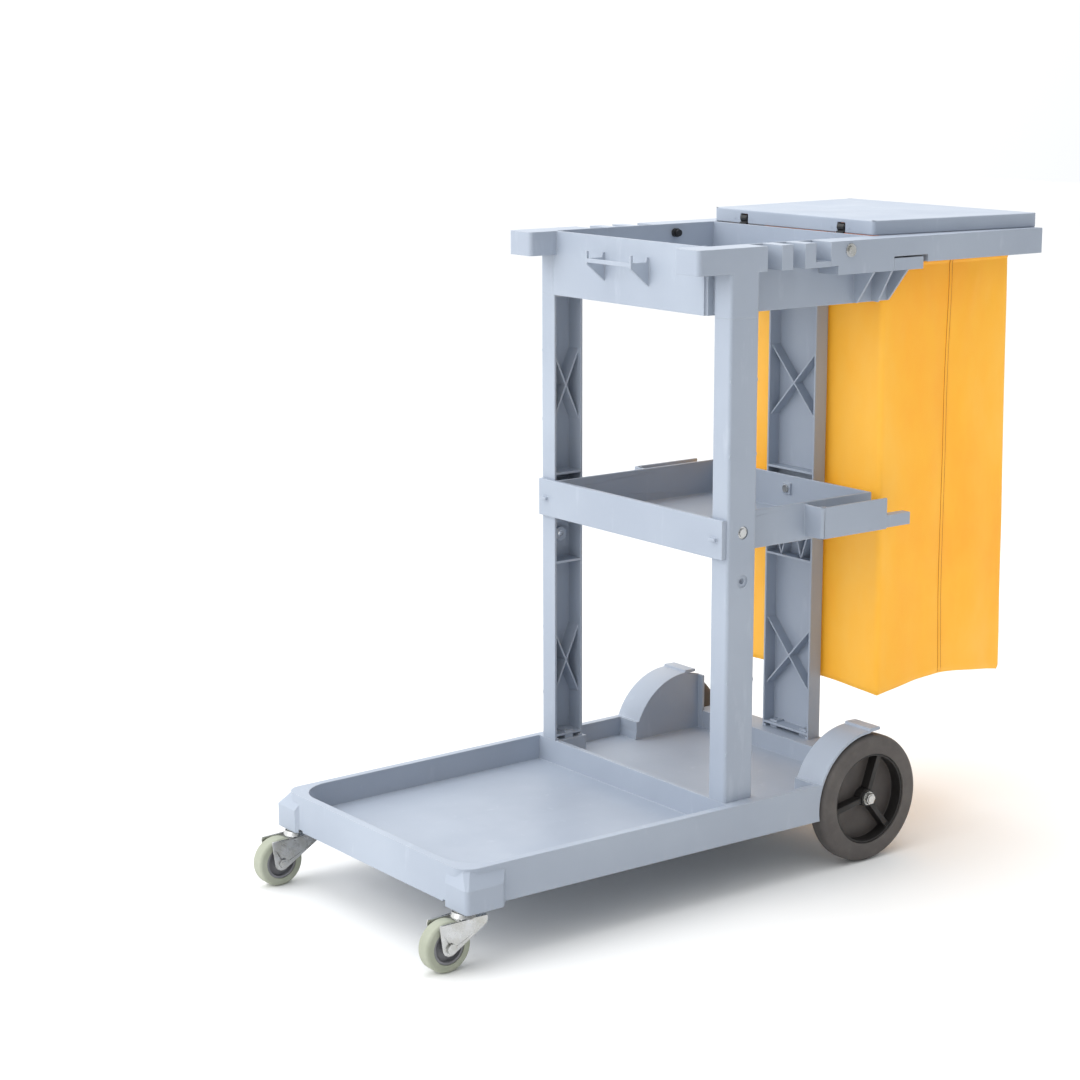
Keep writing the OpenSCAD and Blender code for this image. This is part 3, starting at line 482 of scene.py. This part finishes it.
def make_bag():
    """The cloth as one closed shell: an outer skin, an inner skin and the rim between them."""
    bag, us, ts = Bag(), ring_steps(), height_steps()
    count = len(us)
    mesh = bmesh.new()

    def shell(thick):
        rows = []
        for t in ts:
            inner = thick * (1.0 if t < HEM_SHARE else THIN)
            rows.append([mesh.verts.new(bag.at(u, t, -inner)[0]) for u in us])
        # the bottom: the lower edge runs in to a slightly sagging middle
        edge = [v.co.copy() for v in rows[-1]]
        centre = Vector((bag.cx, 0, BAG_FOOT + BOTTOM_RISE + thick * THIN))
        for share in BOTTOM_RINGS:
            row = []
            for point in edge:
                flat = centre.lerp(point, share)
                wave = noise.noise(Vector((flat.x * 14, flat.y * 14, 3.1)))
                flat.z = centre.z + (point.z - centre.z) * share**3
                flat.z += 0.0016 * wave * (1 - share)
                row.append(mesh.verts.new(flat))
            rows.append(row)
        tip = mesh.verts.new(centre)
        return rows, tip

    def skin(rows, tip, flip):
        for low, high in zip(rows, rows[1:]):
            for k in range(count):
                face = (low[k], low[(k + 1) % count], high[(k + 1) % count], high[k])
                mesh.faces.new(face if flip else face[::-1])
        for k in range(count):
            face = (rows[-1][k], rows[-1][(k + 1) % count], tip)
            mesh.faces.new(face if flip else face[::-1])

    outer, outer_tip = shell(0.0)
    inner, inner_tip = shell(CLOTH)
    skin(outer, outer_tip, False)
    skin(inner, inner_tip, True)
    for k in range(count):
        j = (k + 1) % count
        mesh.faces.new((outer[0][k], outer[0][j], inner[0][j], inner[0][k]))
    return bag, add_piece("vinyl_bag", mesh, "yellow_vinyl")


def ribbon(name, bag, path, profile, slot):
    """A strip along a path of (u, t) on the bag. The profile lists (across, lift) in metres."""
    mesh = bmesh.new()
    rows = []
    # one step past the end, so that the last row also knows its direction
    beyond = tuple(2 * last - before for last, before in zip(path[-1], path[-2]))
    for (u0, t0), (u1, t1) in zip(path, path[1:] + [beyond]):
        point, normal = bag.at(u0, t0)
        ahead = bag.at(u1, t1)[0] - point
        across = ahead.cross(normal).normalized()
        row = []
        for side, lift in profile:
            row.append(mesh.verts.new(point + across * side + normal * lift))
        rows.append(row)
    for low, high in zip(rows, rows[1:]):
        for k in range(len(profile)):
            j = (k + 1) % len(profile)
            mesh.faces.new((low[k], low[j], high[j], high[k]))
    mesh.faces.new(rows[0])
    mesh.faces.new(rows[-1][::-1])
    return add_piece(name, mesh, slot)


def seam_path(side_u, drift, t0, t1):
    """A seam from the hem down, drifting a little and waving."""
    path = []
    for k in range(SEAM_STEPS + 1):
        t = t0 + (t1 - t0) * k / SEAM_STEPS
        wave = 0.006 * math.sin(5.2 * t + side_u) + 0.003 * math.sin(13 * t + 1)
        path.append((side_u + drift * (1 - t) + wave, t))
    return path


SEAM_STEPS, HEM_STEPS = 110, 260
# cross sections, as (across, lift)
WELT = [
    (-0.0036, -0.0006),
    (-0.0034, 0.0004),
    (-0.0022, 0.0008),
    (0.0022, 0.0008),
    (0.0034, 0.0004),
    (0.0036, -0.0006),
]
THREAD = [(-0.0004, -0.0004), (-0.0003, 0.00035), (0.0003, 0.00035), (0.0004, -0.0004)]
THREAD_OFFSET, WELT_HEIGHT = 0.0030, 0.0006
SEAMS = (("left", 1.0, 0.02), ("right", 3.0, -0.02), ("rear", 2.0, 0.0))


def make_bag_details(bag):
    """Three seams, each with two lines of thread, and the stitching round the hem."""
    details = []
    for name, side_u, drift in SEAMS:
        path = seam_path(side_u, drift, 0.004, 0.998)
        details.append(ribbon(f"bag_seam_{name}", bag, path, WELT, "yellow_vinyl"))
        for letter, edge in (("a", -THREAD_OFFSET), ("b", THREAD_OFFSET)):
            profile = [(across + edge, lift + WELT_HEIGHT) for across, lift in THREAD]
            path = seam_path(side_u, drift, 0.006, 0.996)
            details.append(ribbon(f"bag_thread_{name}_{letter}", bag, path, profile, "thread"))
    t = (BAG_TOP - BAG_HEM - 0.003) / (BAG_TOP - BAG_FOOT)
    path = [(-0.499 + 4 * k / HEM_STEPS, t) for k in range(HEM_STEPS + 1)]
    details.append(ribbon("bag_hem_stitch", bag, path, THREAD, "thread"))
    return details


bag_surface, bag_piece = make_bag()
bag_details = make_bag_details(bag_surface)
for piece in [bag_piece, *bag_details]:
    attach(piece, "frame")
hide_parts("waste_bag")

# ------------------------------------------------------------------ stage, light and camera

POSITION = Vector((-2.25815 + SHIFT, -2.80590, 1.24972))
YAW, PITCH, ROLL = math.radians(51.66), math.radians(12.08), math.radians(0.19)
SENSOR = 36.0  # millimetres across
FOCAL = 81.0027  # millimetres
SHIFT_X, SHIFT_Y = -0.064806, 0.012676  # shares of the picture's width
FLOOR_HALF = 14.0


def make_camera():
    """It looks along YAW, tipped down by PITCH, and turned about its own axis by ROLL."""
    level = math.cos(PITCH)
    forward = Vector((math.cos(YAW) * level, math.sin(YAW) * level, -math.sin(PITCH)))
    right = Vector((math.sin(YAW), -math.cos(YAW), 0))
    up = right.cross(forward)
    turn = Matrix((right, up, -forward)).transposed().to_4x4()
    data = bpy.data.cameras.new("camera")
    data.sensor_width = SENSOR
    data.lens = FOCAL
    data.shift_x, data.shift_y = SHIFT_X, SHIFT_Y
    data.clip_end = 50
    camera = bpy.data.objects.new("camera", data)
    camera.matrix_world = Matrix.Translation(POSITION) @ turn @ Matrix.Rotation(ROLL, 4, "Z")
    scene.collection.objects.link(camera)
    scene.camera = camera


def make_floor():
    mesh = bpy.data.meshes.new("floor")
    corners = [(x * FLOOR_HALF, y * FLOOR_HALF, 0) for x, y in ((-1, -1), (1, -1), (1, 1), (-1, 1))]
    mesh.from_pydata(corners, [], [(0, 1, 2, 3)])
    floor = bpy.data.objects.new("floor", mesh)
    scene.collection.objects.link(floor)
    n = Nodes("floor")
    n.colour(n.ramp(n.noise(0.8, 2.0), ((0.3, srgb("F1F1F0")), (0.7, srgb("F5F5F4")))))
    n.set(Roughness=0.75, Specular_IOR_Level=0.2)
    mesh.materials.append(n.mat)


def area_light(name, at, size, power):
    """A square white light that points at the middle of the cart."""
    data = bpy.data.lights.new(name, "AREA")
    data.size = size
    data.energy = power
    light = bpy.data.objects.new(name, data)
    aim = (Vector((0, 0, 0.5)) - Vector(at)).to_track_quat("-Z", "Y")
    light.matrix_world = Matrix.Translation(at) @ aim.to_matrix().to_4x4()
    scene.collection.objects.link(light)


# The sky's strength is SKY_LEVEL plus the dot product of SKY_SLOPE with the direction.
SKY_SLOPE = (-0.34, 0.62, 0.45)
SKY_LEVEL = 0.88
SKY_LOW = 0.12  # it is never darker than this


def make_world():
    """A studio sky: bright above and at the caster end, darker on the near side."""
    world = bpy.data.worlds.new("studio")
    world.use_nodes = True
    tree = world.node_tree
    background = tree.nodes["Background"]
    coord = tree.nodes.new("ShaderNodeTexCoord")
    dot = tree.nodes.new("ShaderNodeVectorMath")
    dot.operation = "DOT_PRODUCT"
    dot.inputs[1].default_value = SKY_SLOPE
    tree.links.new(coord.outputs["Generated"], dot.inputs[0])
    add = tree.nodes.new("ShaderNodeMath")
    add.operation = "ADD"
    add.inputs[1].default_value = SKY_LEVEL
    tree.links.new(dot.outputs["Value"], add.inputs[0])
    low = tree.nodes.new("ShaderNodeMath")
    low.operation = "MAXIMUM"
    low.inputs[1].default_value = SKY_LOW
    tree.links.new(add.outputs[0], low.inputs[0])
    background.inputs["Color"].default_value = (0.97, 0.985, 1.0, 1)
    tree.links.new(low.outputs[0], background.inputs["Strength"])
    scene.world = world


make_camera()
make_floor()
make_world()
area_light("key", (-3.4, 0.6, 2.2), 2.4, 41)
area_light("top", (0.3, 0.3, 3.6), 3.0, 42)

scene.view_settings.view_transform = "Standard"
